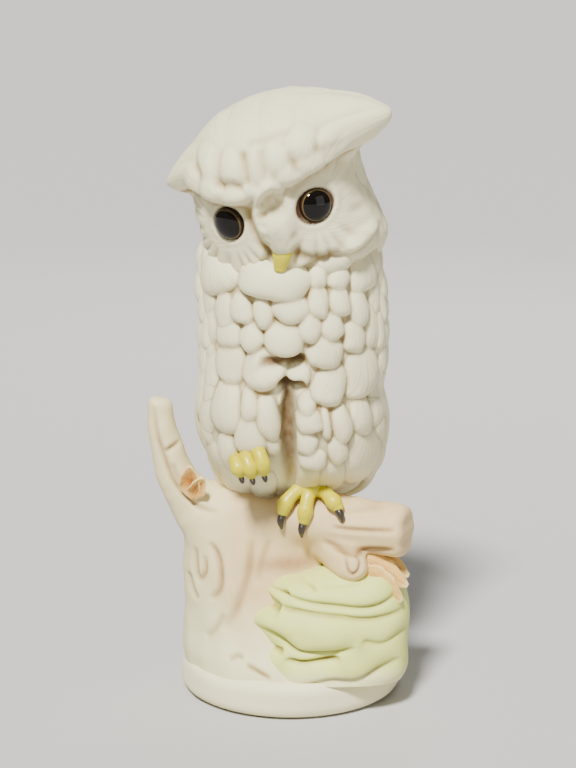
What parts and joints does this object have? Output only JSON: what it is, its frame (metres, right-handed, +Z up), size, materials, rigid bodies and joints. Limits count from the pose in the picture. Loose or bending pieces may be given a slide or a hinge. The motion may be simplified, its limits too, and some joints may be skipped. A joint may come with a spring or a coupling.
{
  "type": "owl figurine",
  "caption": "Free-standing bisque porcelain owl with glass eyes, perched on a log with one foot lifted, on a leafy, mossy stump with a round plinth",
  "frame": {"origin": "middle of the plinth's flat underside, on the table", "axes": "+Z up, the figurine faces -Y, +X to the owl's own left (a viewer's right)"},
  "size_m": [0.0778, 0.063, 0.1778],
  "materials": {
    "white_bisque": "unglazed white bisque porcelain, satin, with a warm wash left in its creases",
    "bark_bisque": "unglazed bisque washed pale pinkish beige, browner in the grooves of the bark",
    "moss_bisque": "unglazed bisque washed pale yellow-green",
    "leaf_bisque": "thin pressed bisque washed tan, orange-brown at the base of each leaf",
    "yellow_enamel": "painted lemon yellow, slightly glossy",
    "black_enamel": "painted glossy near-black",
    "dark_glass": "glossy dark glass bead with a wide black pupil and a thin amber ring"
  },
  "bodies": {
    "root": {"base_plinth": "white_bisque", "stump_trunk": "bark_bisque", "perch_log": "bark_bisque", "log_stub": "bark_bisque", "upright_branch": "bark_bisque", "moss_mound": "moss_bisque", "right_eye": "dark_glass", "left_eye": "dark_glass", "owl_head": "white_bisque", "owl_body": "white_bisque", "beak": "yellow_enamel", "right_ear_tuft": "white_bisque", "left_ear_tuft": "white_bisque", "right_wing": "white_bisque", "left_wing": "white_bisque", "raised_thigh": "white_bisque", "standing_thigh": "white_bisque", "tail": "white_bisque", "perched_foot": "yellow_enamel", "perched_toe_inner": "yellow_enamel", "perched_toe_middle": "yellow_enamel", "perched_toe_outer": "yellow_enamel", "raised_toe_inner": "yellow_enamel", "raised_toe_middle": "yellow_enamel", "raised_toe_outer": "yellow_enamel", "perched_talon_inner": "black_enamel", "perched_talon_middle": "black_enamel", "perched_talon_outer": "black_enamel", "raised_talon_inner": "black_enamel", "raised_talon_middle": "black_enamel", "raised_talon_outer": "black_enamel", "branch_leaf_outer": "leaf_bisque", "branch_leaf_inner": "leaf_bisque", "log_leaf_upper": "leaf_bisque", "log_leaf_middle": "leaf_bisque", "log_leaf_lower": "leaf_bisque"}
  },
  "joints": []
}
